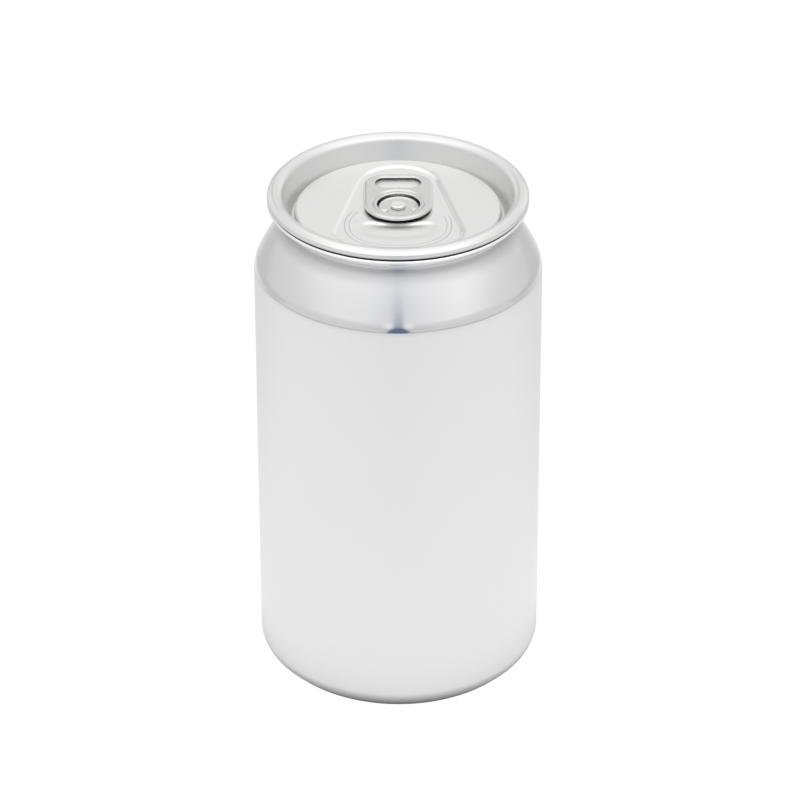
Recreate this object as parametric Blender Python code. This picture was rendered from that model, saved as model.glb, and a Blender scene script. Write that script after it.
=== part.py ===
"""Aluminium beverage can, 355 ml size, with its easy-open end laid on: drawn body, turned end and pull tab.

The can stands on Z with the centre of its standing ring at the origin. The tear panel of the end and the
nose of the tab face -Y. Run it with blender --background --python part.py, or from the Text editor.
"""

import math

import bmesh
import bpy
from mathutils import Vector

MM = 0.001
SEGMENTS = 60  # round the axis of the can
GAP = 0.3  # between pieces that touch, in mm

# Body, in mm: radius and height of each feature of the drawn and necked wall.
BODY_RADIUS = 33.1
DOME_HEIGHT = 10.2
DOME_SPHERE = 45.0
DOME_EDGE = 21.2
STANDING_RADIUS = 24.05
NOSE_RADIUS = 1.25
CHIME_ANGLE = 27.2
CHIME_KNEE = (29.7, 2.9)
CHIME_TOP = 6.3
SHOULDER_HEIGHT = 106.35
SHOULDER_ANGLE = 30.0
NECK_RADIUS = 26.5
FLANGE_RADIUS = 29.83
FLANGE_TOP = 122.1

# End, in mm.
CREST_HEIGHT = 124.55
CURL_RADIUS = 29.85
CURL_BOTTOM = 122.45
LIP_RADIUS = 26.6
PANEL_RADIUS = 23.5
PANEL_TOP = 119.9
PANEL_UNDER = 118.7
GROOVE_RADIUS = 24.35
GROOVE_FLOOR = 117.85
SHEET = 0.4
RECESS_DEPTH = 0.45
BEAD_DEPTH = 0.35
RIVET_SHANK = 1.15
RIVET_HEAD = 1.78
RIVET_TOP = 120.9

# Tab, in mm.
TAB_WIDTH = 15.6
TAB_NOSE = -6.9
TAB_HEEL = 14.8
TAB_UNDER = 119.78
TAB_TOP = 120.92
ISLAND_TOP = 120.25
ISLAND_RADIUS = 4.55


def arc(centre, radius, start, end, steps):
    """Points on an arc between two angles in degrees."""
    angles = (math.radians(start + (end - start) * i / steps) for i in range(steps + 1))
    return [(centre[0] + radius * math.cos(a), centre[1] + radius * math.sin(a)) for a in angles]


def filleted(corners):
    """An open path through (x, y, radius, steps) corners, each replaced by a tangent arc of its radius."""
    path = []
    for i, (x, y, radius, steps) in enumerate(corners):
        here = Vector((x, y))
        if not radius:
            path.append((x, y))
            continue
        back = (Vector(corners[i - 1][:2]) - here).normalized()
        ahead = (Vector(corners[i + 1][:2]) - here).normalized()
        half = back.angle(ahead) / 2
        middle = here + (back + ahead).normalized() * radius / math.sin(half)
        first = here + back * radius / math.tan(half) - middle
        last = here + ahead * radius / math.tan(half) - middle
        turn = first.angle_signed(last)
        for k in range(steps + 1):
            angle = -turn * k / steps
            path.append(
                (
                    middle.x + first.x * math.cos(angle) - first.y * math.sin(angle),
                    middle.y + first.x * math.sin(angle) + first.y * math.cos(angle),
                )
            )
    return path


def belt(circles, step=7.5):
    """The closed convex outline, anticlockwise, of a belt round (x, y, radius) circles given in that order."""
    outline = []
    normals = []
    for (x1, y1, r1), (x2, y2, r2) in zip(circles, circles[1:] + circles[:1]):
        length = math.hypot(x2 - x1, y2 - y1)
        lean = math.acos(max(-1.0, min(1.0, (r1 - r2) / length)))
        normals.append(math.degrees(math.atan2(y2 - y1, x2 - x1) - lean))
    for i, (x, y, radius) in enumerate(circles):
        start = normals[i - 1]
        sweep = (normals[i] - start) % 360
        outline += arc((x, y), radius, start, start + sweep, max(2, round(sweep / step)))
    return outline


def grown(outline, distance):
    """The outline with each point moved outwards by a distance, along the mean normal of its two sides."""
    moved = []
    for i, (x, y) in enumerate(outline):
        ahead, back = outline[(i + 1) % len(outline)], outline[i - 1]
        along = Vector((ahead[0] - back[0], ahead[1] - back[1])).normalized()
        moved.append((x + along.y * distance, y - along.x * distance))
    return moved


def material(name, colour, roughness):
    made = bpy.data.materials.new(name)
    made.use_nodes = True
    shader = made.node_tree.nodes["Principled BSDF"]
    shader.inputs["Base Color"].default_value = (*colour, 1.0)
    shader.inputs["Metallic"].default_value = 1.0
    shader.inputs["Roughness"].default_value = roughness
    return made


def finish(name, bm, look=None, sharp=32):
    """Turns the bmesh into an object; one with no look is a cutter or a helper that is not rendered."""
    bmesh.ops.remove_doubles(bm, verts=bm.verts, dist=1e-6)
    bmesh.ops.recalc_face_normals(bm, faces=bm.faces)
    mesh = bpy.data.meshes.new(name)
    bm.to_mesh(mesh)
    bm.free()
    mesh.shade_smooth()
    mesh.set_sharp_from_angle(angle=math.radians(sharp))
    obj = bpy.data.objects.new(name, mesh)
    bpy.context.scene.collection.objects.link(obj)
    if look:
        mesh.materials.append(look)
    else:
        obj.hide_render = True
        obj.display_type = "WIRE"
    return obj


def turned(name, profile, look=None, segments=SEGMENTS):
    """Spins an open (radius, height) profile, both ends on the axis, into a closed solid."""
    bm = bmesh.new()
    points = [bm.verts.new((r * MM, 0, z * MM)) for r, z in profile]
    edges = [bm.edges.new(pair) for pair in zip(points, points[1:])]
    bmesh.ops.spin(
        bm, geom=points + edges, cent=(0, 0, 0), axis=(0, 0, 1), angle=2 * math.pi, steps=segments
    )
    return finish(name, bm, look)


def drafted(name, outline, bottom, top, draft=0.0, look=None):
    """Extrudes an outline from bottom to top, growing it by draft on the way, with both ends closed."""
    bm = bmesh.new()
    rings = []
    for z, ring in ((bottom, outline), (top, grown(outline, draft))):
        rings.append([bm.verts.new((x * MM, y * MM, z * MM)) for x, y in ring])
    bm.faces.new(reversed(rings[0]))
    bm.faces.new(rings[1])
    count = len(outline)
    for i in range(count):
        j = (i + 1) % count
        bm.faces.new((rings[0][i], rings[0][j], rings[1][j], rings[1][i]))
    return finish(name, bm, look)


def boolean(obj, other, operation="DIFFERENCE"):
    modifier = obj.modifiers.new(other.name, "BOOLEAN")
    modifier.operation = operation
    modifier.solver = "EXACT"
    modifier.object = other


def body_profile():
    """From the middle of the domed base out over the standing ring, up the wall and over the flange."""
    steps = 7
    drop = DOME_SPHERE - math.sqrt(DOME_SPHERE**2 - DOME_EDGE**2)
    dome = []
    for i in range(steps):
        r = DOME_EDGE * i / steps
        dome.append((r, DOME_HEIGHT - DOME_SPHERE + math.sqrt(DOME_SPHERE**2 - r**2)))
    chime_run = CHIME_KNEE[1] / math.tan(math.radians(CHIME_ANGLE))
    neck_base = SHOULDER_HEIGHT + (BODY_RADIUS - NECK_RADIUS) / math.tan(math.radians(SHOULDER_ANGLE))
    wall = filleted(
        [
            (DOME_EDGE, DOME_HEIGHT - drop, 0, 0),
            (DOME_EDGE + 0.75, DOME_HEIGHT - drop - 0.5, 0.6, 2),
            (STANDING_RADIUS - 1.95, 0, NOSE_RADIUS, 4),
            (CHIME_KNEE[0] - chime_run, 0, NOSE_RADIUS, 2),
            (*CHIME_KNEE, 8.0, 3),
            (BODY_RADIUS, CHIME_TOP, 4.5, 4),
            (BODY_RADIUS, SHOULDER_HEIGHT, 6.4, 5),
            (NECK_RADIUS, neck_base, 4.5, 4),
            (NECK_RADIUS, FLANGE_TOP - 2.45, 1.0, 4),
            (FLANGE_RADIUS - 0.1, FLANGE_TOP - 0.75, 0.12, 1),
            (FLANGE_RADIUS, FLANGE_TOP - 0.02, 0.25, 2),
            (LIP_RADIUS + 0.05, FLANGE_TOP, 0.3, 2),
            (GROOVE_RADIUS + 0.75, GROOVE_FLOOR - SHEET - GAP, 0, 0),
            (PANEL_RADIUS - 0.45, GROOVE_FLOOR - SHEET - GAP, 0, 0),
            (PANEL_RADIUS - 0.7, PANEL_UNDER - GAP, 0, 0),
            (0, PANEL_UNDER - GAP, 0, 0),
        ]
    )
    return dome + wall


def end_profile():
    """From the middle of the panel's underside out to the curl, over its crest and back along the top."""
    return filleted(
        [
            (0, PANEL_UNDER, 0, 0),
            (PANEL_RADIUS - 0.35, PANEL_UNDER, 0, 0),
            (PANEL_RADIUS - 0.2, GROOVE_FLOOR - SHEET, 0.25, 2),
            (GROOVE_RADIUS + 0.5, GROOVE_FLOOR - SHEET, 0.4, 2),
            (LIP_RADIUS - 0.2, CURL_BOTTOM, 0, 0),
            (CURL_RADIUS, CURL_BOTTOM, 0.25, 2),
            (CURL_RADIUS, CREST_HEIGHT - 1.0, 0.5, 2),
            (CURL_RADIUS - 1.15, CREST_HEIGHT, 1.5, 4),
            (LIP_RADIUS, CREST_HEIGHT, 1.4, 5),
            (GROOVE_RADIUS, GROOVE_FLOOR, 0.3, 2),
            (PANEL_RADIUS + 0.15, GROOVE_FLOOR, 0.3, 2),
            (PANEL_RADIUS, PANEL_TOP, 0.45, 3),
            (0, PANEL_TOP, 0, 0),
        ]
    )


def can_body():
    return turned("can_body", body_profile(), material("satin_coat", (0.74, 0.745, 0.755), 0.42))


def can_end():
    """The end: a turned lid with a sunk field round the tab, a bead in the tear panel and an integral rivet."""
    end = turned("can_end", end_profile(), material("end_metal", (0.80, 0.80, 0.79), 0.3))
    floor = PANEL_TOP - RECESS_DEPTH
    field = belt([(0, 11.2, 8.9), (-8.6, -11.3, 5.5), (0, 0, 19.7), (8.6, -11.3, 5.5)])
    boolean(end, drafted("recess_cutter", field, floor, PANEL_TOP + RECESS_DEPTH, 1.0))
    bead = []
    for x, y in belt([(-5.6, -10.6, 2.9), (0, -2.0, 13.0), (5.6, -10.6, 2.9)]):
        bead.append((x, y - 0.9 * max(0.0, 1 - (x / 8.0) ** 2) * (y > -9.0)))
    boolean(end, drafted("bead_cutter", bead, floor - BEAD_DEPTH, floor + BEAD_DEPTH, 1.0))
    rivet = filleted(
        [
            (0, floor - 0.4, 0, 0),
            (RIVET_SHANK, floor - 0.4, 0, 0),
            (RIVET_SHANK, RIVET_TOP - 0.35, 0, 0),
            (RIVET_HEAD, RIVET_TOP - 0.35, 0, 0),
            (RIVET_HEAD, RIVET_TOP, 0.2, 2),
            (0, RIVET_TOP, 0, 0),
        ]
    )
    boolean(end, turned("rivet_form", rivet, segments=24), "UNION")
    return end


def pull_tab():
    """The tab: a plate with rounded hems, a finger slot, and a lowered island that the rivet holds."""
    side = TAB_WIDTH / 2
    heel_corner = 4.8
    outline = belt(
        [
            (0, TAB_NOSE + side, side),
            (side - heel_corner, TAB_HEEL - heel_corner, heel_corner),
            (heel_corner - side, TAB_HEEL - heel_corner, heel_corner),
        ]
    )
    plate = drafted("pull_tab", outline, TAB_UNDER, TAB_TOP, look=material("tab_metal", (0.6, 0.6, 0.585), 0.3))
    bm = bmesh.new()
    bm.from_mesh(plate.data)
    rims = [e for e in bm.edges if any(len(f.verts) > 4 for f in e.link_faces)]
    bmesh.ops.bevel(bm, geom=rims, offset=0.42 * MM, segments=3, affect="EDGES", profile=0.5)
    bm.to_mesh(plate.data)
    bm.free()
    below, above = TAB_UNDER - 1, TAB_TOP + 1
    boolean(plate, drafted("slot_cutter", belt([(-2.5, 10.7, 2.65), (2.5, 10.7, 2.65)]), below, above))
    dish = belt([(0, -0.1, 4.75), (0, 0.8, 5.15)])
    boolean(plate, drafted("dish_cutter", dish, ISLAND_TOP, above))
    slit = arc((0, 0.8), 5.15, -4, 184, 30) + arc((0, 0), ISLAND_RADIUS, 176, 4, 26)
    boolean(plate, drafted("slit_cutter", slit, below, above))
    boolean(plate, drafted("rivet_hole_cutter", arc((0, 0), RIVET_SHANK + GAP, 0, 345, 23), below, above))
    return plate


def main():
    for obj in list(bpy.data.objects):
        bpy.data.objects.remove(obj, do_unlink=True)
    can_body()
    can_end()
    pull_tab()


main()
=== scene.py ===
"""Aluminium beverage can: the drawn body, the easy-open end with its score and rivet, and the pull tab.

The file is laid out as an add-on and run as a script. Every size is in millimetres until a point is made.
"""

import math
import bmesh
import bpy
import numpy as np
from bpy.props import FloatProperty, FloatVectorProperty, IntProperty, PointerProperty
from mathutils import Matrix, Vector


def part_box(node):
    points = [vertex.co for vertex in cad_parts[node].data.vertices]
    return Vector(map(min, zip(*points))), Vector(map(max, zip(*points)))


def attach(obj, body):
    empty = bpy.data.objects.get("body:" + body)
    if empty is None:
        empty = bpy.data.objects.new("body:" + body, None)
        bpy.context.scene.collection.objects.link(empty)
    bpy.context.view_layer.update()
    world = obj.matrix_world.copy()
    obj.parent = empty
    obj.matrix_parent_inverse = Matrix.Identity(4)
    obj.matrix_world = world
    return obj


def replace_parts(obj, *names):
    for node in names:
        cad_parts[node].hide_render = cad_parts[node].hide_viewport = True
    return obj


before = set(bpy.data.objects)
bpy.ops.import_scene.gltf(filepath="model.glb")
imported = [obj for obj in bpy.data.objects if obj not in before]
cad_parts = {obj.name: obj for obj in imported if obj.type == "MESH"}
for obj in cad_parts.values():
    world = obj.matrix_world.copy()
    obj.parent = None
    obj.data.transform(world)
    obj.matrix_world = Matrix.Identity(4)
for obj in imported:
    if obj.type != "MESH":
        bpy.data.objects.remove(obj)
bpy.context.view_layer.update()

bl_info = {
    "name": "Beverage Can",
    "version": (1, 0, 0),
    "blender": (4, 5, 0),
    "location": "3D View > Sidebar > Can",
    "description": "Builds a plain aluminium drinks can with its end and pull tab",
    "category": "Object",
}

MM = 0.001
WHITE = (1, 1, 1, 1)
# Nearly black, painted as shade in crevices.
UNLIT = (0.01, 0.01, 0.012, 1)
DARK_GAP = (0.2, 0.26, 0.4, 1)

# Fixed measures of the can, in millimetres.
COAT_MARGIN = 0.7  # the coat ends this far below the corner of the shoulder
COAT_FOOT = 4.6  # the chime under this height is worn bright
CURL_DEPTH = 2.1  # from the crest of the end's curl down to its foot
PAD_RISE = 0.29  # of the low pad under the finger slot
BODY_BOX, END_BOX, TAB_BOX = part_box("can_body"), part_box("can_end"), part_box("pull_tab")


def mm(value):
    return round(value / MM, 3)


# ---------------------------------------------------------------- outlines and profiles


def arc(centre, radius, start, end, steps):
    """Points on an arc between two angles in degrees."""
    angles = np.radians(np.linspace(start, end, steps + 1))
    return [(centre[0] + radius * math.cos(a), centre[1] + radius * math.sin(a)) for a in angles]


def filleted(corners):
    """An open path through (x, y, radius, steps) corners, each replaced by a tangent arc of its radius."""
    path = []
    for i, (x, y, radius, steps) in enumerate(corners):
        here = Vector((x, y))
        if not radius:
            path.append((x, y))
            continue
        back = (Vector(corners[i - 1][:2]) - here).normalized()
        ahead = (Vector(corners[i + 1][:2]) - here).normalized()
        half = back.angle(ahead) / 2
        middle = here + (back + ahead).normalized() * radius / math.sin(half)
        first = here + back * radius / math.tan(half) - middle
        last = here + ahead * radius / math.tan(half) - middle
        turn = first.angle_signed(last)
        for k in range(steps + 1):
            path.append(tuple(middle + Matrix.Rotation(-turn * k / steps, 2) @ first))
    return path


def belt(circles, step=4.0):
    """The closed convex outline, anticlockwise, of a belt round circles (x, y, radius) in that order."""
    outline = []
    normals = []
    for (x1, y1, r1), (x2, y2, r2) in zip(circles, circles[1:] + circles[:1]):
        length = math.hypot(x2 - x1, y2 - y1)
        lean = math.acos(max(-1.0, min(1.0, (r1 - r2) / length)))
        normals.append(math.degrees(math.atan2(y2 - y1, x2 - x1) - lean))
    for i, (x, y, radius) in enumerate(circles):
        sweep = (normals[i] - normals[i - 1]) % 360
        steps = max(2, round(sweep / step))
        outline += arc((x, y), radius, normals[i - 1], normals[i - 1] + sweep, steps)
    return outline


def evenly(outline, spacing):
    """A closed outline resampled at an even spacing."""
    points = np.array(outline + outline[:1])
    runs = np.concatenate([[0], np.cumsum(np.hypot(*np.diff(points, axis=0).T))])
    count = max(8, round(runs[-1] / spacing))
    at = np.linspace(0, runs[-1], count, endpoint=False)
    return list(zip(np.interp(at, runs, points[:, 0]), np.interp(at, runs, points[:, 1])))


def grown(outline, distance):
    """The outline with each point moved outwards by a distance, along the mean normal of its two sides."""
    moved = []
    for i, (x, y) in enumerate(outline):
        ahead, back = outline[(i + 1) % len(outline)], outline[i - 1]
        along = Vector((ahead[0] - back[0], ahead[1] - back[1])).normalized()
        moved.append((x + along.y * distance, y - along.x * distance))
    return moved


def signed_distance(points, outline):
    """How far each point lies outside a closed outline; inside it the distance is negative."""
    best = np.full(len(points), np.inf)
    inside = np.zeros(len(points), bool)
    for a, b in zip(outline, outline[1:] + outline[:1]):
        a, b = np.array(a), np.array(b)
        side, rel = b - a, points - a
        along = np.clip(rel @ side / max(side @ side, 1e-12), 0, 1)
        best = np.minimum(best, np.hypot(*(rel - along[:, None] * side).T))
        if a[1] != b[1]:
            crosses = (a[1] > points[:, 1]) != (b[1] > points[:, 1])
            at = a[0] + (points[:, 1] - a[1]) * side[0] / side[1]
            inside ^= crosses & (points[:, 0] < at)
    return np.where(inside, -best, best)


def smooth(value, low, high):
    t = np.clip((value - low) / (high - low), 0, 1)
    return t * t * (3 - 2 * t)


# ---------------------------------------------------------------- settings


class CanSizes(bpy.types.PropertyGroup):
    """Driving sizes of the can, in millimetres."""

    body_radius: FloatProperty(
        name="Body radius",
        description="Radius of the straight wall",
        default=mm(BODY_BOX[1].x),
        min=20,
        max=50,
    )
    flange_top: FloatProperty(
        name="Flange height",
        description="Height of the body's flange",
        default=mm(BODY_BOX[1].z),
        min=60,
        max=200,
    )
    dome_height: FloatProperty(
        name="Dome height", description="Rise of the base dome at its middle", default=10.2, min=4, max=14
    )
    shoulder_height: FloatProperty(
        name="Shoulder height",
        description="Where the wall would meet the shoulder cone",
        default=106.35,
        min=50,
        max=190,
    )
    shoulder_angle: FloatProperty(
        name="Shoulder angle",
        description="Cone of the shoulder from upright, in degrees",
        default=30.0,
        min=10,
        max=50,
    )
    neck_radius: FloatProperty(
        name="Neck radius", description="Radius of the neck under the flange", default=26.5, min=15, max=40
    )
    flange_radius: FloatProperty(
        name="Flange radius", description="Outer radius of the rolled flange", default=29.83, min=16, max=45
    )
    crest_height: FloatProperty(
        name="Crest height", description="Height of the end's curl", default=mm(END_BOX[1].z), min=60, max=205
    )
    curl_radius: FloatProperty(
        name="Curl radius",
        description="Outer radius of the end's curl",
        default=mm(END_BOX[1].x),
        min=16,
        max=45,
    )
    panel_radius: FloatProperty(
        name="Panel radius", description="Radius of the end's centre panel", default=23.5, min=10, max=35
    )
    panel_depth: FloatProperty(
        name="Panel depth", description="How far the panel lies below the crest", default=4.65, min=1, max=8
    )
    recess_depth: FloatProperty(
        name="Recess depth", description="Depth of the sunk field round the tab", default=0.45, min=0, max=1
    )
    bead_depth: FloatProperty(
        name="Bead depth", description="Depth of the bead in the tear panel", default=0.35, min=0, max=1
    )
    tab_under: FloatProperty(
        name="Tab underside",
        description="Height of the tab's lower face",
        default=mm(TAB_BOX[0].z),
        min=50,
        max=205,
    )
    tab_thickness: FloatProperty(
        name="Tab thickness",
        description="Height of the tab's rolled hem",
        default=mm(TAB_BOX[1].z - TAB_BOX[0].z),
        min=0.4,
        max=2,
    )
    hem_width: FloatProperty(
        name="Hem width", description="Width of the tab's rolled hem", default=1.75, min=0.6, max=3
    )
    segments: IntProperty(
        name="Segments", description="Steps round the can's axis", default=288, min=48, max=720
    )


class CanFinishes(bpy.types.PropertyGroup):
    """Colours and finishes of the can."""

    coat: FloatVectorProperty(
        name="Coat",
        description="Satin clear coat over the wall",
        subtype="COLOR",
        default=(0.81, 0.809, 0.809),
    )
    coat_roughness: FloatProperty(
        name="Coat roughness", description="Roughness of the satin coat", default=0.46, min=0, max=1
    )
    bare: FloatVectorProperty(
        name="Bare metal",
        description="Bright metal of the shoulder and neck",
        subtype="COLOR",
        default=(0.84, 0.84, 0.85),
    )
    bare_roughness: FloatProperty(
        name="Bare roughness", description="Roughness of the bright shoulder", default=0.1, min=0, max=1
    )
    end: FloatVectorProperty(
        name="End", description="Sheet of the end", subtype="COLOR", default=(0.83, 0.83, 0.825)
    )
    end_roughness: FloatProperty(
        name="End roughness", description="Roughness of the end's sheet", default=0.27, min=0, max=1
    )
    tab: FloatVectorProperty(
        name="Tab", description="Strip of the tab", subtype="COLOR", default=(0.69, 0.685, 0.665)
    )
    tab_roughness: FloatProperty(
        name="Tab roughness", description="Roughness of the tab's strip", default=0.24, min=0, max=1
    )


class StageSettings(bpy.types.PropertyGroup):
    """The camera and the studio."""

    distance: FloatProperty(
        name="Distance",
        description="From the camera to its target",
        default=1.0148,
        unit="LENGTH",
        min=0.2,
        max=5,
    )
    elevation: FloatProperty(
        name="Elevation",
        description="Of the camera above the target",
        default=math.radians(30.75),
        subtype="ANGLE",
    )
    target: FloatProperty(
        name="Target height",
        description="The point looked at on the axis",
        default=0.06882,
        unit="LENGTH",
        max=0.3,
    )
    roll: FloatProperty(
        name="Roll",
        description="Of the camera about its line of sight",
        default=math.radians(-0.12),
        subtype="ANGLE",
    )
    lens: FloatProperty(
        name="Lens", description="Focal length of the camera in millimetres", default=195.2, min=20, max=400
    )
    shift: FloatProperty(
        name="Shift",
        description="Sideways shift of the frame, as a part of its width",
        default=0.0019,
        min=-1,
        max=1,
    )
    dome: FloatProperty(
        name="Studio", description="Brightness of the soft studio walls", default=1.0, min=0, max=4
    )
    overhead: FloatProperty(
        name="Overhead", description="Extra brightness of the soft box above", default=0.33, min=0, max=8
    )


# ---------------------------------------------------------------- shading


class Value:
    """A number socket whose arithmetic adds Math nodes to its tree."""

    def __init__(self, shader, socket):
        self.shader, self.socket = shader, socket

    def math(self, operation, *others):
        inputs = dict(enumerate([self, *others]))
        return self.shader.add("ShaderNodeMath", {"operation": operation}, inputs)

    def __add__(self, other):
        return self.math("ADD", other)

    def __sub__(self, other):
        return self.math("SUBTRACT", other)

    def __rsub__(self, other):
        return self.shader.add("ShaderNodeMath", {"operation": "SUBTRACT"}, {0: other, 1: self})

    def __mul__(self, other):
        return self.math("MULTIPLY", other)

    def __truediv__(self, other):
        return self.math("DIVIDE", other)

    def __pow__(self, other):
        return self.math("POWER", other)

    def __abs__(self):
        return self.math("ABSOLUTE")

    __radd__, __rmul__ = __add__, __mul__

    def step(self, low, high):
        """Rises smoothly from 0 at low to 1 at high."""
        values = {"Value": self, "From Min": low, "From Max": high}
        return self.shader.add("ShaderNodeMapRange", {"interpolation_type": "SMOOTHSTEP"}, values)


class Shader:
    """A node tree being wired up, either a material's or the world's."""

    def __init__(self, owner):
        owner.use_nodes = True
        self.tree = owner.node_tree
        self.tree.nodes.clear()

    def add(self, kind, settings=None, inputs=None, output=0):
        """Adds a node with its settings and the values or links of its sockets, and returns one output."""
        node = self.tree.nodes.new(kind)
        for name, value in (settings or {}).items():
            setattr(node, name, value)
        for key, value in (inputs or {}).items():
            if isinstance(value, Value):
                self.tree.links.new(value.socket, node.inputs[key])
            else:
                node.inputs[key].default_value = value
        return Value(self, node.outputs[output])

    def place(self, kind="Object"):
        return self.add("ShaderNodeTexCoord", output=kind)

    def attribute(self, name):
        return self.add("ShaderNodeAttribute", {"attribute_name": name}, output="Fac")

    def split(self, vector):
        node = self.add("ShaderNodeSeparateXYZ", inputs={0: vector}).socket.node
        return [Value(self, socket) for socket in node.outputs]

    def noise(self, vector, scale, detail=2.0, stretch=(1, 1, 1)):
        scaled = self.add("ShaderNodeMapping", inputs={"Vector": vector, "Scale": stretch})
        return self.add("ShaderNodeTexNoise", inputs={"Vector": scaled, "Scale": scale, "Detail": detail})

    def blend(self, factor, first, second):
        """Mixes two colours."""
        settings = {"data_type": "RGBA"}
        return self.add("ShaderNodeMix", settings, {0: factor, 6: first, 7: second}, output=2)

    def bump(self, height, distance, strength=1.0):
        inputs = {"Height": height, "Distance": distance, "Strength": strength}
        return self.add("ShaderNodeBump", inputs=inputs)

    def surface(self, socket, kind="ShaderNodeOutputMaterial"):
        output = self.tree.nodes.new(kind)
        self.tree.links.new(socket.socket, output.inputs["Surface"])


def rgba(colour, gain=1.0):
    return (*(min(1.0, c * gain) for c in colour), 1.0)


def metal_material(name, wire):
    """A new material whose Principled inputs come from wire(shader, object coordinates)."""
    made = bpy.data.materials.new(name)
    shader = Shader(made)
    shader.surface(shader.add("ShaderNodeBsdfPrincipled", inputs=wire(shader, shader.place())))
    return made


def body_finish(finishes, coat_top):
    """Satin coat on the wall, bright bare metal on the shoulder, scuffed on the chime; the neck is rougher
    and darkened by painted shade under the flange, and crevices take nearly black painted shade.
    """

    def wire(shader, place):
        height = shader.split(place)[2] / MM
        cloud = shader.noise(place, 22.0, 3.0)
        grain = shader.noise(place, 900.0, 2.0, (1, 1, 0.02))
        wander = (cloud - 0.5) * 0.2
        bare = (height + wander).step(coat_top - 0.08, coat_top + 0.08)
        # Painted shade in the neck under the flange's overhang. It is left out on a thin ring and halved on a
        # lower one, so these show lighter, and it is left off the flange.
        off_upper_ring = abs(height - coat_top - 13.75).step(0.14, 0.26)
        off_lower_ring = abs(height - coat_top - 12.9).step(0.06, 0.16)
        rings = 1 - off_upper_ring * (off_lower_ring * 0.5 + 0.5)
        flange = height.step(coat_top + 14.6, coat_top + 15.2)
        neck = height.step(coat_top + 8.35, coat_top + 12.35) * (1 - rings) * (1 - flange)
        # A thin band just above where the coat ends is darker.
        trim = bare * (1 - (height + wander).step(coat_top + 0.15, coat_top + 0.55))
        chime = 1 - (height + wander * 4).step(COAT_FOOT - 0.9, COAT_FOOT + 0.7)
        specks = shader.noise(place, 1400.0, 1.0).step(0.74, 0.8)
        band = height.step(COAT_FOOT - 2.2, COAT_FOOT - 0.4) * (1 - height.step(COAT_FOOT, COAT_FOOT + 1.2))
        scuff = specks * band * shader.noise(place, 90.0, 2.0).step(0.52, 0.66)
        coat = shader.blend(cloud, rgba(finishes.coat, 0.985), rgba(finishes.coat, 1.015))
        # The dark grey is the neck's painted shade, and also the darker band just above the coat's edge.
        shoulder = shader.blend(neck * 0.6 + trim * 0.4, rgba(finishes.bare), rgba((0.38, 0.375, 0.385)))
        polished = shader.blend(flange, shoulder, rgba(finishes.bare, 1.15))
        # Nearly black painted shade where the mesh marks a crevice.
        metal = shader.blend(shader.attribute("shut"), shader.blend(bare, coat, polished), UNLIT)
        worn = shader.blend(chime * 0.6, metal, rgba(finishes.coat, 0.94))
        colour = shader.blend(scuff * 0.5, worn, rgba((0.34, 0.34, 0.35)))
        coated = (grain - 0.5) * 0.05 + finishes.coat_roughness - chime * 0.12
        frost = height.step(coat_top + 0.6, coat_top + 6.0) * 0.09 + neck * 0.12
        bright = (cloud - 0.5) * 0.02 + finishes.bare_roughness + frost
        return {
            "Base Color": colour,
            "Roughness": coated * (1 - bare) + bright * bare + scuff * 0.2,
            "Metallic": bare * 0.06 + 0.94,
            "Normal": shader.bump(grain * (1 - bare) + bare * 0.5, 0.00001, 0.25),
        }

    return metal_material("satin_coated_wall", wire)


def rolled_finish(name, colour, roughness, stretch, flat_radius=99.0):
    """Rolled sheet with fine lines along its rolling; past flat_radius, where it is drawn, it is duller,
    plain and painted a little darker as shade.
    """

    def wire(shader, place):
        grain = shader.noise(place, 2500.0, 1.0, stretch)
        cloud = shader.noise(place, 60.0, 2.0)
        x, y, _ = shader.split(place)
        drawn = ((x * x + y * y) ** 0.5 / MM).step(flat_radius, flat_radius + 0.5)
        tone = grain * 0.3 * (1 - drawn) + drawn * 0.15 + cloud * 0.7
        sheet = shader.blend(tone, rgba(colour, 0.995), rgba(colour, 1.005))
        # Past flat_radius the colour is lowered as painted shade.
        wall = shader.blend(drawn, sheet, rgba(colour, 0.945))
        rough = (grain - 0.5) * 0.015 * (1 - drawn) + (cloud - 0.5) * 0.02 + drawn * 0.07 + roughness
        burnish, film = shader.attribute("burnish"), shader.attribute("film")
        # Along the sunk field's edge the sheet is burnished and smoother, and its colour is lifted as a
        # painted highlight.
        wall = shader.blend(burnish, wall, rgba(colour, 1.12))
        return {
            # Nearly black painted shade where the mesh marks a crevice.
            "Base Color": shader.blend(shader.attribute("shut"), wall, UNLIT),
            "Roughness": rough + film * 0.35 - burnish * 0.06,
            "Metallic": 1 - film * 0.6,
            "Normal": shader.bump(grain * (1 - drawn) + drawn * 0.5, 0.0000005, 0.02),
        }

    return metal_material(name, wire)


def score_shade_finish(colour):
    """The score's groove: a thin dull strip, painted darker as the groove's shade."""

    def wire(shader, place):
        cloud = shader.noise(place, 700.0, 2.0)
        return {
            "Base Color": shader.blend(cloud, rgba(colour, 0.55), rgba(colour, 0.7)),
            "Roughness": (cloud - 0.5) * 0.1 + 0.42,
            "Metallic": 1.0,
        }

    return metal_material("score_shade", wire)


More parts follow.
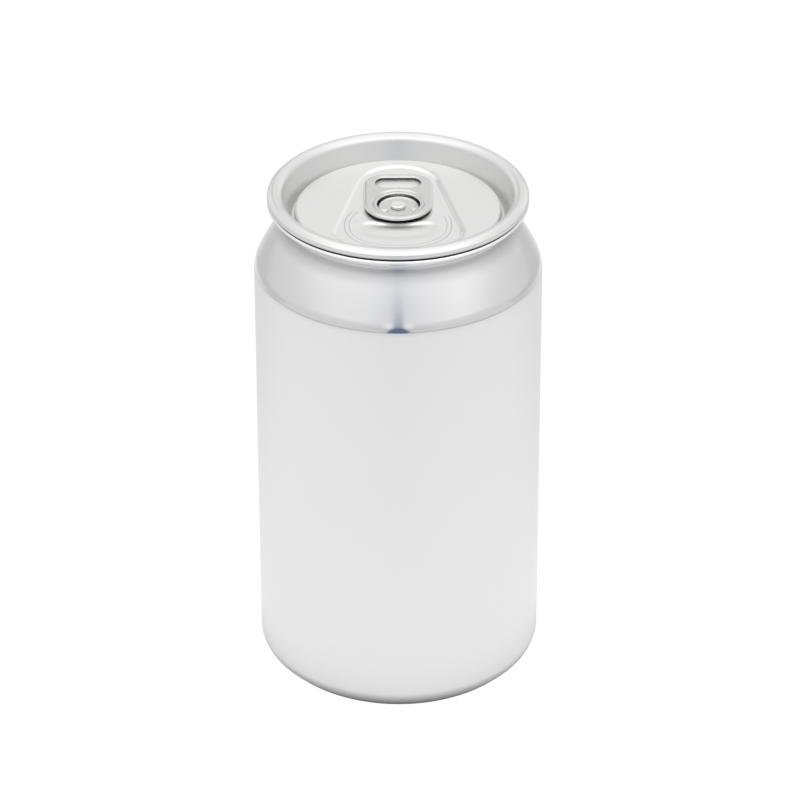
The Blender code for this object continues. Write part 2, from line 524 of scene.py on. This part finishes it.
def floor_finish():
    """White sweep that glows evenly, with a painted contact shadow where the can's foot stands.

    What the can mirrors of it is painted dimmer near the can, is dimmer behind it, and holds the foot of the
    dark gap in front.
    """
    made = bpy.data.materials.new("white_sweep")
    shader = Shader(made)
    x, y, _ = shader.split(shader.place())
    reach = (x * x + y * y) ** 0.5 / MM
    behind = (y / MM).step(10.0, 130.0)
    strip = (1 - abs(x / y).step(0.11, 0.17)) * reach.step(320.0, 480.0) * (1 - behind)
    # Painted contact shadow under the can's foot, as the camera sees it.
    seen = reach.step(22.5, 25.5) * 0.9 + 0.12
    # Painted shade near the can in what the can mirrors; dimmer far off.
    mirrored = (reach.step(25.5, 49.0) * 0.98 + 0.07) * (1 - reach.step(180.0, 520.0) * 0.3)
    direct = shader.add("ShaderNodeLightPath", output="Is Camera Ray")
    strength = direct * seen + (1 - direct) * mirrored * (1 - behind * 0.15)
    colour = shader.blend(strip * (1 - direct), WHITE, DARK_GAP)
    shader.surface(shader.add("ShaderNodeEmission", inputs={"Color": colour, "Strength": strength}))
    return made


def studio_world(stage):
    """Soft white walls, dim behind and low down, a brighter box above, and the dark gap round the camera.

    The can mirrors all of this, and the camera itself sees plain white past the floor.
    """
    world = bpy.data.worlds.new("studio")
    bpy.context.scene.world = world
    shader = Shader(world)
    x, y, z = shader.split(shader.place("Generated"))
    ahead = (0.0 - y).step(-0.3, 0.5)
    wide = abs(x)

    # The walls: lighter panels low at the sides and a dark patch behind, a gentle lobe at each side in front.
    sides = wide.step(0.28, 0.42) * (1 - wide.step(0.55, 0.85)) * (1 - z.step(0.3, 0.42))
    patch = (1 - abs(x + 0.32).step(0.08, 0.2)) * z.step(0.3, 0.36) * (1 - z.step(0.45, 0.54))
    low = wide.step(0.25, 0.6) * (1 - z.step(0.05, 0.3)) * 0.09
    behind = z.step(0.0, 0.48) * 0.3 + 0.63 + sides * (x.step(0.0, 0.3) * 0.08 + 0.24) - patch * 0.5
    lobe = wide.step(0.3, 0.8) * z.step(0.2, 0.4) * (x.step(0.2, 0.8) * 0.08 + 0.06)
    before = z.step(-0.05, 0.5) * 0.29 + 0.61 + lobe
    level = (behind * (1 - ahead) + before * ahead + low) * stage.dome

    # The soft box, nearer in front than behind, with a dimmer middle.
    above = z.step(0.68 - ahead * 0.18, 0.88 - ahead * 0.14) * (ahead * 0.5 + 1) * stage.overhead
    above = above * (1 - z.step(0.93, 0.98) * 0.5)

    # The dark gap in front, with a light flank on either side and a faint haze round it.
    side = abs(x / (0.02 + abs(y)))
    front = (0.0 - y).step(0.0, 0.2)
    haze = (1 - side.step(0.05, 0.5)) * (1 - z.step(0.6, 0.85)) * z.step(0.05, 0.4) * front
    edge = (1 - z.step(-0.05, 0.18)) * 0.06 + 0.06
    gap = (1 - (side / edge).step(0.75, 1.25)) * (1 - z.step(0.05, 0.25) * 0.42)
    gap = gap * (1 - z.step(0.42, 0.62)) * front
    flank = side.step(0.06, 0.1) * (1 - side.step(0.14, 0.24)) * z.step(0.03, 0.15)
    flank = flank * (1 - z.step(0.33, 0.45)) * front
    tint = shader.blend(haze, WHITE, (0.86, 0.87, 0.9, 1))
    colour = shader.blend(gap, tint, DARK_GAP)

    strength = level + above + flank * 0.2
    lit = shader.add("ShaderNodeBackground", inputs={"Color": colour, "Strength": strength})
    seen = shader.add("ShaderNodeBackground", inputs={"Color": WHITE, "Strength": 1.0})
    direct = shader.add("ShaderNodeLightPath", output="Is Camera Ray")
    mixed = shader.add("ShaderNodeMixShader", inputs={0: direct, 1: lit, 2: seen})
    shader.surface(mixed, "ShaderNodeOutputWorld")


# ---------------------------------------------------------------- meshes


def finished(name, bm, material, slot, sharp=40, **marks):
    """Makes a piece of the mesh, facing out, smooth, and riding on the can.

    Each mark is a function of the points' radii and places that says how far, from 0 to 1, a point takes
    nearly black painted shade in a crevice, is dulled by film, or is burnished and lifted by a painted
    highlight.
    """
    bmesh.ops.remove_doubles(bm, verts=bm.verts, dist=1e-7)
    bmesh.ops.recalc_face_normals(bm, faces=bm.faces)
    mesh = bpy.data.meshes.new(name)
    bm.to_mesh(mesh)
    bm.free()
    mesh.shade_smooth()
    mesh.set_sharp_from_angle(angle=math.radians(sharp))
    mesh.materials.clear()
    mesh.materials.append(material)
    for mark, spread in marks.items():
        points = np.array([v.co for v in mesh.vertices]) / MM
        amount = spread(np.hypot(points[:, 0], points[:, 1]), points).astype(np.float32)
        mesh.attributes.new(mark, "FLOAT", "POINT").data.foreach_set("value", amount)
    piece = bpy.data.objects.new(name, mesh)
    bpy.context.scene.collection.objects.link(piece)
    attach(piece, "root")
    return piece


def ring(bm, radius, height, segments):
    """A ring of vertices round the axis, or the one vertex on it."""
    if radius < 1e-6:
        return [bm.verts.new((0, 0, height * MM))]
    turns = (2 * math.pi * i / segments for i in range(segments))
    return [bm.verts.new((radius * math.cos(a) * MM, radius * math.sin(a) * MM, height * MM)) for a in turns]


def skin(bm, lower, upper):
    """Faces between two rings, either of which may be a single vertex."""
    count = max(len(lower), len(upper))
    for i in range(count):
        j = (i + 1) % count
        corners = [lower[i % len(lower)], lower[j % len(lower)], upper[j % len(upper)], upper[i % len(upper)]]
        bm.faces.new(list(dict.fromkeys(corners)))


def turned(bm, profile, segments):
    """Skins rings along an open (radius, height) profile, and returns the rings."""
    rings = [ring(bm, r, z, segments) for r, z in profile]
    for lower, upper in zip(rings, rings[1:]):
        skin(bm, lower, upper)
    return rings


def divided(profile, longest):
    """The profile with its long straight runs split."""
    points = [profile[0]]
    for (x1, y1), (x2, y2) in zip(profile, profile[1:]):
        parts = max(1, math.ceil(math.hypot(x2 - x1, y2 - y1) / longest))
        points += [(x1 + (x2 - x1) * k / parts, y1 + (y2 - y1) * k / parts) for k in range(1, parts + 1)]
    return points


def body_profile(s):
    """From the middle of the domed base out over the standing ring, up the wall and over the flange."""
    sphere, edge = 45.0, 21.2
    chime_radius, chime_height, chime_angle = 29.7, 2.9, 27.2
    inner_floor = 117.15
    dome = []
    for r in np.linspace(0, edge, 24, endpoint=False):
        dome.append((r, s.dome_height - sphere + math.sqrt(sphere**2 - r**2)))
    foot = s.dome_height - sphere + math.sqrt(sphere**2 - edge**2)
    chime_run = chime_height / math.tan(math.radians(chime_angle))
    slope = math.tan(math.radians(s.shoulder_angle))
    neck_base = s.shoulder_height + (s.body_radius - s.neck_radius) / slope
    cone = ((s.body_radius + s.neck_radius) / 2 + 0.17, (s.shoulder_height + neck_base) / 2 + 0.1)
    top = s.flange_top
    return dome + filleted(
        [
            (edge, foot, 0, 0),
            (edge + 0.75, foot - 0.5, 0.6, 6),
            (22.1, 0, 1.25, 12),
            (chime_radius - chime_run, 0, 1.25, 8),
            (chime_radius, chime_height, 8.0, 10),
            (s.body_radius, 6.3, 4.5, 14),
            (s.body_radius, s.shoulder_height, 7.5, 24),
            (cone[0], cone[1], 110.0, 16),
            (s.neck_radius, neck_base, 4.4, 20),
            (s.neck_radius - 0.02, neck_base + 1.35, 0.15, 3),
            (s.neck_radius + 0.1, neck_base + 1.6, 0.12, 4),
            (s.neck_radius - 0.02, neck_base + 1.85, 0.3, 5),
            (s.neck_radius + 0.4, top - 2.1, 0.4, 6),
            (s.flange_radius - 1.5, top - 1.35, 0.4, 4),
            (s.flange_radius - 1.3, top - 1.12, 0.15, 4),
            (s.flange_radius - 0.3, top - 0.78, 0.3, 4),
            (s.flange_radius, top - 0.5, 0.2, 5),
            (s.flange_radius - 0.36, top, 0.2, 6),
            (26.65, top, 0.3, 4),
            (25.1, inner_floor, 0, 0),
            (0, inner_floor, 0, 0),
        ]
    )


def end_profile(s):
    """From the middle of the underside out to the curl, over its crest, down the wall and up to the panel."""
    panel = s.crest_height - s.panel_depth
    underside, groove = panel - 1.2, panel - 2.05
    curl_foot = s.crest_height - CURL_DEPTH
    return filleted(
        [
            (0, underside, 0, 0),
            (s.panel_radius - 0.35, underside, 0, 0),
            (s.panel_radius - 0.2, groove - 0.4, 0.25, 4),
            (24.85, groove - 0.4, 0.4, 5),
            (26.4, curl_foot, 0, 0),
            (s.curl_radius, curl_foot, 0.28, 8),
            (s.curl_radius, s.crest_height - 1.0, 0.8, 10),
            (s.curl_radius - 1.08, s.crest_height, 1.25, 14),
            (26.8, s.crest_height, 2.05, 24),
            (24.35, groove, 0.3, 8),
            (s.panel_radius + 0.15, groove, 0.3, 8),
            (s.panel_radius, panel, 0.45, 10),
            (s.panel_radius - 0.6, panel, 0, 0),
        ]
    )


def recess_outline():
    """The sunk teardrop field, at its floor."""
    return belt([(0, 11.2, 8.9), (-8.6, -11.3, 5.5), (0, 0, 19.7), (8.6, -11.3, 5.5)])


def bead_outline():
    """The bean-shaped bead of the tear panel, its back edge bowed towards the nose of the tab."""
    bowed = []
    for x, y in evenly(belt([(-5.2, -9.3, 3.7), (0, -1.6, 12.5), (5.2, -9.3, 3.7)]), 0.4):
        bowed.append((x, y - 1.5 * max(0.0, 1 - (x / 7.6) ** 2) * (y > -8.0)))
    return bowed


def score_outline(inset=0.0):
    """The tear panel's score, an egg-shaped loop that passes under the tab."""
    half_width, half_length, middle = 12.15 - inset, 10.7 - inset, -7.6
    power = 2 / 2.3
    outline = []
    for turn in np.radians(np.arange(0, 360, 3)):
        c, s = math.cos(turn), math.sin(turn)
        x = half_width * math.copysign(abs(c) ** power, c)
        y = half_length * math.copysign(abs(s) ** power, s)
        outline.append((x, y + middle))
    return outline


def recess_floor(sizes):
    """Height of the sunk field round the tab."""
    return sizes.crest_height - sizes.panel_depth - sizes.recess_depth


def panel_relief(points, sizes):
    """Height of the panel's surface over its plane at each point."""
    field = signed_distance(points, recess_outline())
    relief = -sizes.recess_depth * (1 - smooth(field, -0.2, 1.0))
    bead = signed_distance(points, bead_outline())
    front = smooth(-points[:, 1], 6.5, 10.5)
    relief -= sizes.bead_depth * (1 - front * 0.5) * (1 - smooth(bead, -0.75 - front, 0.65 + front * 0.5))
    wide, y = abs(points[:, 0]), points[:, 1]
    relief += PAD_RISE * (1 - smooth(wide, 5.6, 6.9)) * smooth(y, 7.5, 8.7) * (1 - smooth(y, 13.2, 14.2))
    boss = np.hypot(wide, y)
    return relief + 0.12 * (1 - smooth(boss, 2.6, 3.6))


# ---------------------------------------------------------------- geometry nodes


def rolled_edge_tree():
    """Geometry nodes that sweep an oval roll of sheet along closed edge loops."""
    tree = bpy.data.node_groups.new("rolled_edge", "GeometryNodeTree")
    face = tree.interface
    face.new_socket("Geometry", in_out="INPUT", socket_type="NodeSocketGeometry")
    for name in ("Width", "Thickness"):
        face.new_socket(name, in_out="INPUT", socket_type="NodeSocketFloat")
    face.new_socket("Material", in_out="INPUT", socket_type="NodeSocketMaterial")
    face.new_socket("Geometry", in_out="OUTPUT", socket_type="NodeSocketGeometry")

    def add(kind, settings=None, inputs=None):
        node = tree.nodes.new(kind)
        for name, value in (settings or {}).items():
            setattr(node, name, value)
        for key, value in (inputs or {}).items():
            if isinstance(value, bpy.types.NodeSocket):
                tree.links.new(value, node.inputs[key])
            else:
                node.inputs[key].default_value = value
        return node

    given = add("NodeGroupInput").outputs
    path = add("GeometryNodeMeshToCurve", inputs={0: given["Geometry"]}).outputs[0]
    upright = add("GeometryNodeSetCurveNormal", {"mode": "Z_UP"}, {0: path}).outputs[0]
    circle = add("GeometryNodeCurvePrimitiveCircle", {"mode": "RADIUS"}, {"Resolution": 28, "Radius": 0.5})
    size = add("ShaderNodeCombineXYZ", inputs={0: given["Width"], 1: given["Thickness"], 2: 1.0})
    section = add("GeometryNodeTransform", inputs={"Geometry": circle.outputs[0], "Scale": size.outputs[0]})
    swept = add("GeometryNodeCurveToMesh", inputs={"Curve": upright, "Profile Curve": section.outputs[0]})
    smoothed = add("GeometryNodeSetShadeSmooth", inputs={0: swept.outputs[0]})
    whole = add("GeometryNodeRealizeInstances", inputs={0: smoothed.outputs[0]})
    inputs = {"Geometry": whole.outputs[0], "Material": given["Material"]}
    painted = add("GeometryNodeSetMaterial", inputs=inputs)
    add("NodeGroupOutput", inputs={0: painted.outputs[0]})
    return tree


def swept_loop(outline, height, width, thickness, material):
    """The mesh of an oval roll that follows a closed outline at a height."""
    tree = bpy.data.node_groups.get("rolled_edge") or rolled_edge_tree()
    path = bpy.data.meshes.new("loop")
    edges = [(i, (i + 1) % len(outline)) for i in range(len(outline))]
    path.from_pydata([(x * MM, y * MM, height * MM) for x, y in outline], edges, [])
    holder = bpy.data.objects.new("loop", path)
    bpy.context.scene.collection.objects.link(holder)
    modifier = holder.modifiers.new("rolled_edge", "NODES")
    modifier.node_group = tree
    values = {"Width": width * MM, "Thickness": thickness * MM, "Material": material}
    for item in tree.interface.items_tree:
        if item.name in values:
            modifier[item.identifier] = values[item.name]
    graph = bpy.context.evaluated_depsgraph_get()
    mesh = bpy.data.meshes.new_from_object(holder.evaluated_get(graph))
    bpy.data.objects.remove(holder)
    bpy.data.meshes.remove(path)
    return mesh


def plate(bm, outline, holes, low, high):
    """A flat plate with holes, between two heights."""
    edges = []
    for loop in (outline, *holes):
        verts = [bm.verts.new((x * MM, y * MM, low * MM)) for x, y in loop]
        edges += [bm.edges.new((verts[i - 1], verts[i])) for i in range(len(verts))]
    filled = bmesh.ops.triangle_fill(bm, edges=edges, use_beauty=True, use_dissolve=False)
    faces = [f for f in filled["geom"] if isinstance(f, bmesh.types.BMFace)]
    raised = bmesh.ops.extrude_face_region(bm, geom=faces, use_keep_orig=True)
    tops = [v for v in raised["geom"] if isinstance(v, bmesh.types.BMVert)]
    bmesh.ops.translate(bm, verts=tops, vec=(0, 0, (high - low) * MM))


def moulded(bm, outline, section):
    """Carries a closed section of (outset, height) corners round an outline."""
    loops = []
    for outset, height in section:
        loops.append([bm.verts.new((x * MM, y * MM, height * MM)) for x, y in grown(outline, outset)])
    for i, loop in enumerate(loops):
        skin(bm, loops[i - 1], loop)


def lofted(bm, outline, levels):
    """Skins the outline through (inset, height) levels, and closes it with a face over the last."""
    rings = []
    for inset, height in levels:
        rings.append([bm.verts.new((x * MM, y * MM, height * MM)) for x, y in grown(outline, -inset)])
    for lower, upper in zip(rings, rings[1:]):
        skin(bm, lower, upper)
    bm.faces.new(rings[-1])


def lance(bm, left, right, tip, height, rise):
    """A small cut and bent-up tongue of sheet: its back edge stands over the sheet and its tip lies in it."""
    corners = [(*left, rise), (*right, rise), (*tip, 0.0)]
    top = [bm.verts.new((x * MM, y * MM, (height + z) * MM)) for x, y, z in corners]
    foot = [bm.verts.new((x * MM, y * MM, (height - 0.1) * MM)) for x, y, _ in corners]
    bm.faces.new(top)
    bm.faces.new(foot[::-1])
    skin(bm, foot, top)


# ---------------------------------------------------------------- operators


class CAN_OT_body(bpy.types.Operator):
    """Build the drawn and necked body with its domed base and rolled flange"""

    bl_idname = "can.body"
    bl_label = "Body"

    def execute(self, context):
        sizes, finishes = context.scene.can_sizes, context.scene.can_finishes
        bm = bmesh.new()
        turned(bm, divided(body_profile(sizes), 4.0), sizes.segments)
        material = body_finish(finishes, sizes.shoulder_height - COAT_MARGIN)

        def shut(radii, points):
            # Nearly black painted shade on the inner top of the flange, under the end's curl.
            inside = 1 - smooth(radii, sizes.flange_radius - 0.7, sizes.flange_radius - 0.4)
            return inside * smooth(points[:, 2], sizes.flange_top - 0.2, sizes.flange_top)

        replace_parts(finished("drawn_body", bm, material, "satin_coat", 60, shut=shut), "can_body")
        return {"FINISHED"}


class CAN_OT_end(bpy.types.Operator):
    """Build the end: curl, chuck wall, groove, and the panel with its recess and bead"""

    bl_idname = "can.end"
    bl_label = "End"

    def execute(self, context):
        sizes, finishes = context.scene.can_sizes, context.scene.can_finishes
        panel = sizes.crest_height - sizes.panel_depth
        bm = bmesh.new()
        rings = turned(bm, end_profile(sizes), sizes.segments)
        previous, relief_rings = rings[-1], []
        for radius in (*np.arange(sizes.panel_radius - 0.75, 0.4, -0.16), 0):
            here = ring(bm, radius, panel, sizes.segments)
            skin(bm, previous, here)
            relief_rings += here
            previous = here
        points = np.array([(v.co.x / MM, v.co.y / MM) for v in relief_rings])
        for vert, rise in zip(relief_rings, panel_relief(points, sizes)):
            vert.co.z += rise * MM
        flat_radius = sizes.panel_radius - 0.7
        grain = (0.03, 1, 0.3)
        material = rolled_finish("end_sheet", finishes.end, finishes.end_roughness, grain, flat_radius)

        def shut(radii, points):
            # Painted shade: nearly black under the curl's foot, and a faint grey line outside the right edge
            # of the sunk field only, standing in for a dark reflection on that side.
            foot = sizes.crest_height - CURL_DEPTH
            curl_underside_shade = (1 - smooth(points[:, 2], foot + 0.21, foot + 0.34)) * smooth(radii, 27.0, 27.5)
            field = signed_distance(points[:, :2], recess_outline())
            right_edge_shade = np.exp(-(((field - 1.1) / 0.25) ** 2)) * smooth(points[:, 0], 3.0, 6.0)
            return curl_underside_shade + 0.14 * right_edge_shade

        # A bright line along the sunk field's edge: burnished, with a painted highlight in its colour.
        def burnish(_, points):
            field = signed_distance(points[:, :2], recess_outline())
            return np.exp(-(((field - 0.3) / 0.3) ** 2)) * (points[:, 2] > panel - 1)

        def film(_, points):
            x, y, z = points.T
            along = smooth(y, 6.5, 7.5) * (1 - smooth(y, 14.2, 15.0))
            return along * (1 - smooth(abs(x), 6.4, 7.2)) * (z > panel - 1)

        end = finished("end_sheet", bm, material, "end_metal", 75, shut=shut, burnish=burnish, film=film)
        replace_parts(end, "can_end")
        return {"FINISHED"}


class CAN_OT_score(bpy.types.Operator):
    """Build the double score that the tear panel opens along"""

    bl_idname = "can.score"
    bl_label = "Score"

    def execute(self, context):
        sizes, finishes = context.scene.can_sizes, context.scene.can_finishes
        floor = recess_floor(sizes)
        material = score_shade_finish(finishes.end)
        bm = bmesh.new()
        for inset, width in ((0.0, 0.2), (1.05, 0.15)):
            bm.from_mesh(swept_loop(score_outline(inset), floor, width, 0.03, material))
        for vert in bm.verts:
            end = -1.5 if vert.co.x < 0 else -3.5
            vert.co.z -= max(0.0, vert.co.y / MM - end) * 0.04 * MM
        finished("score_line", bm, material, "end_metal", 60)
        return {"FINISHED"}


class CAN_OT_rivet(bpy.types.Operator):
    """Build the rivet that holds the tab"""

    bl_idname = "can.rivet"
    bl_label = "Rivet"

    def execute(self, context):
        sizes, finishes = context.scene.can_sizes, context.scene.can_finishes
        floor = recess_floor(sizes)
        top = floor + 1.45
        profile = filleted(
            [
                (0, floor, 0, 0),
                (1.15, floor, 0, 0),
                (1.15, top - 0.76, 0, 0),
                (1.76, top - 0.74, 0.12, 5),
                (1.78, top, 0.38, 9),
                (1.0, top - 0.02, 0.5, 4),
                (0, top - 0.07, 0, 0),
            ]
        )
        bm = bmesh.new()
        turned(bm, divided(profile, 0.3), 72)
        material = rolled_finish("rivet_button", finishes.end, finishes.end_roughness * 0.8, (0.3, 1, 0.3))
        finished("rivet_button", bm, material, "end_metal", 50)
        return {"FINISHED"}


class CAN_OT_tab(bpy.types.Operator):
    """Build the pull tab: web, rolled hems round its edge and openings, and the island under the rivet"""

    bl_idname = "can.tab"
    bl_label = "Pull tab"

    def execute(self, context):
        sizes, finishes = context.scene.can_sizes, context.scene.can_finishes
        side, nose, heel, corner = mm(TAB_BOX[1].x) + 0.1, mm(TAB_BOX[0].y), mm(TAB_BOX[1].y), 4.8
        low, thick, hem, inner_hem = sizes.tab_under, sizes.tab_thickness, sizes.hem_width, 1.1
        middle, top = low + thick / 2, low + thick
        rear = side - corner, heel - corner
        shell = [(0, nose + side, side), (rear[0], rear[1], corner), (-rear[0], rear[1], corner)]
        outline = evenly(belt(shell), 0.25)
        slot = evenly(belt([(-2.5, 10.7, 2.65), (2.5, 10.7, 2.65)]), 0.2)
        eye = evenly(belt([(0.1, -0.1, 4.5), (0.1, 0.9, 4.9)]), 0.2)
        material = rolled_finish("tab_strip", finishes.tab, finishes.tab_roughness, (1, 0.03, 0.3))

        web = bmesh.new()
        openings = [grown(slot, inner_hem / 2), grown(eye, 1.35)]
        plate(web, grown(outline, -hem / 2), openings, middle - 0.1, top - 0.025)
        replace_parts(finished("tab_web", web, material, "tab_metal", 30), "pull_tab")

        hems = bmesh.new()
        hems.from_mesh(swept_loop(grown(outline, -hem / 2), middle, hem, thick - 0.04, material))
        hems.from_mesh(swept_loop(grown(slot, inner_hem / 2), middle, inner_hem, thick - 0.04, material))
        hems.from_mesh(swept_loop(grown(eye, inner_hem / 2), top - 0.63, inner_hem, 0.62, material))
        moulded(hems, eye, [(1.45, top - 0.02), (0.95, top - 0.3), (0.9, top - 0.42), (1.45, top - 0.2)])

        def shut(_, points):
            # Nearly black painted shade: the outer hem's lower flank, a band round the middle of the finger
            # slot's roll, and the lower part of the roll round the eye.
            z = points[:, 2]
            flank = signed_distance(points[:, :2], grown(outline, -hem / 2)) > 0
            mouth = signed_distance(points[:, :2], slot) < 1.3
            throat = signed_distance(points[:, :2], eye) < 1.3
            band = smooth(z, low + 0.2, low + 0.3) * (1 - smooth(z, low + 0.68, low + 0.78))
            under = 1 - smooth(z, low + 0.04, low + 0.2)
            depth = 1 - smooth(z, low + 0.4, low + 0.5)
            return np.select([flank, mouth, throat], [under, band, depth], 0.0)

        finished("tab_hems", hems, material, "tab_metal", 60, shut=shut)

        island = bmesh.new()
        rim = low + 0.56
        sheet = rim - 0.25
        levels = [(0, low + 0.03), (0, rim - 0.16), (0.06, rim - 0.05), (0.17, rim), (0.3, rim - 0.02)]
        levels += [(0.42, rim - 0.1), (0.56, rim - 0.2), (0.8, rim - 0.24), (1.2, sheet)]
        lofted(island, evenly(belt([(0.1, 0.15, 4.45), (0.1, -1.2, 4.45)]), 0.3), levels)
        lance(island, (-4.05, -2.0), (-2.05, -1.75), (-3.1, -2.8), sheet, 0.32)
        lance(island, (2.75, -1.3), (4.3, -1.2), (3.6, -2.1), sheet, 0.24)
        lance(island, (-3.6, -0.1), (-3.2, -0.15), (-3.35, -0.9), sheet, 0.1)
        finished("tab_island", island, material, "tab_metal", 30)
        return {"FINISHED"}


class CAN_OT_stage(bpy.types.Operator):
    """Set up the white floor, the soft studio and the camera"""

    bl_idname = "can.stage"
    bl_label = "Stage"

    def execute(self, context):
        scene = context.scene
        stage = scene.can_stage
        bm = bmesh.new()
        bmesh.ops.create_grid(bm, x_segments=8, y_segments=8, size=3.0)
        mesh = bpy.data.meshes.new("floor")
        bm.to_mesh(mesh)
        bm.free()
        mesh.materials.append(floor_finish())
        floor = bpy.data.objects.new("floor", mesh)
        scene.collection.objects.link(floor)
        studio_world(stage)
        camera = bpy.data.cameras.new("camera")
        camera.lens, camera.sensor_width = stage.lens, 36.0
        camera.shift_x = stage.shift
        camera.clip_start, camera.clip_end = 0.05, 20.0
        holder = bpy.data.objects.new("camera", camera)
        back = Vector((0, -math.cos(stage.elevation), math.sin(stage.elevation)))
        holder.location = Vector((0, 0, stage.target)) + back * stage.distance
        facing = (-back).to_track_quat("-Z", "Y").to_matrix() @ Matrix.Rotation(stage.roll, 3, "Z")
        holder.rotation_euler = facing.to_euler()
        scene.collection.objects.link(holder)
        scene.camera = holder
        scene.view_settings.view_transform = "Standard"
        return {"FINISHED"}


class CAN_PT_panel(bpy.types.Panel):
    """Lists the pieces of the can in the sidebar"""

    bl_idname = "CAN_PT_panel"
    bl_label = "Beverage can"
    bl_space_type = "VIEW_3D"
    bl_region_type = "UI"
    bl_category = "Can"

    def draw(self, context):
        for group in (context.scene.can_sizes, context.scene.can_finishes, context.scene.can_stage):
            box = self.layout.box()
            for name in group.bl_rna.properties.keys():
                if name not in ("rna_type", "name"):
                    box.prop(group, name)
        for step in STEPS:
            self.layout.operator(step.bl_idname)


SETTINGS = (("can_sizes", CanSizes), ("can_finishes", CanFinishes), ("can_stage", StageSettings))
STEPS = (CAN_OT_body, CAN_OT_end, CAN_OT_score, CAN_OT_rivet, CAN_OT_tab, CAN_OT_stage)


def register():
    for _, group in SETTINGS:
        bpy.utils.register_class(group)
    for name, group in SETTINGS:
        setattr(bpy.types.Scene, name, PointerProperty(type=group))
    for step in STEPS:
        bpy.utils.register_class(step)
    bpy.utils.register_class(CAN_PT_panel)


def unregister():
    bpy.utils.unregister_class(CAN_PT_panel)
    for step in reversed(STEPS):
        bpy.utils.unregister_class(step)
    for name, group in reversed(SETTINGS):
        delattr(bpy.types.Scene, name)
        bpy.utils.unregister_class(group)


def main():
    register()
    bpy.ops.can.body()
    bpy.ops.can.end()
    bpy.ops.can.score()
    bpy.ops.can.rivet()
    bpy.ops.can.tab()
    bpy.ops.can.stage()


if __name__ == "__main__":
    main()
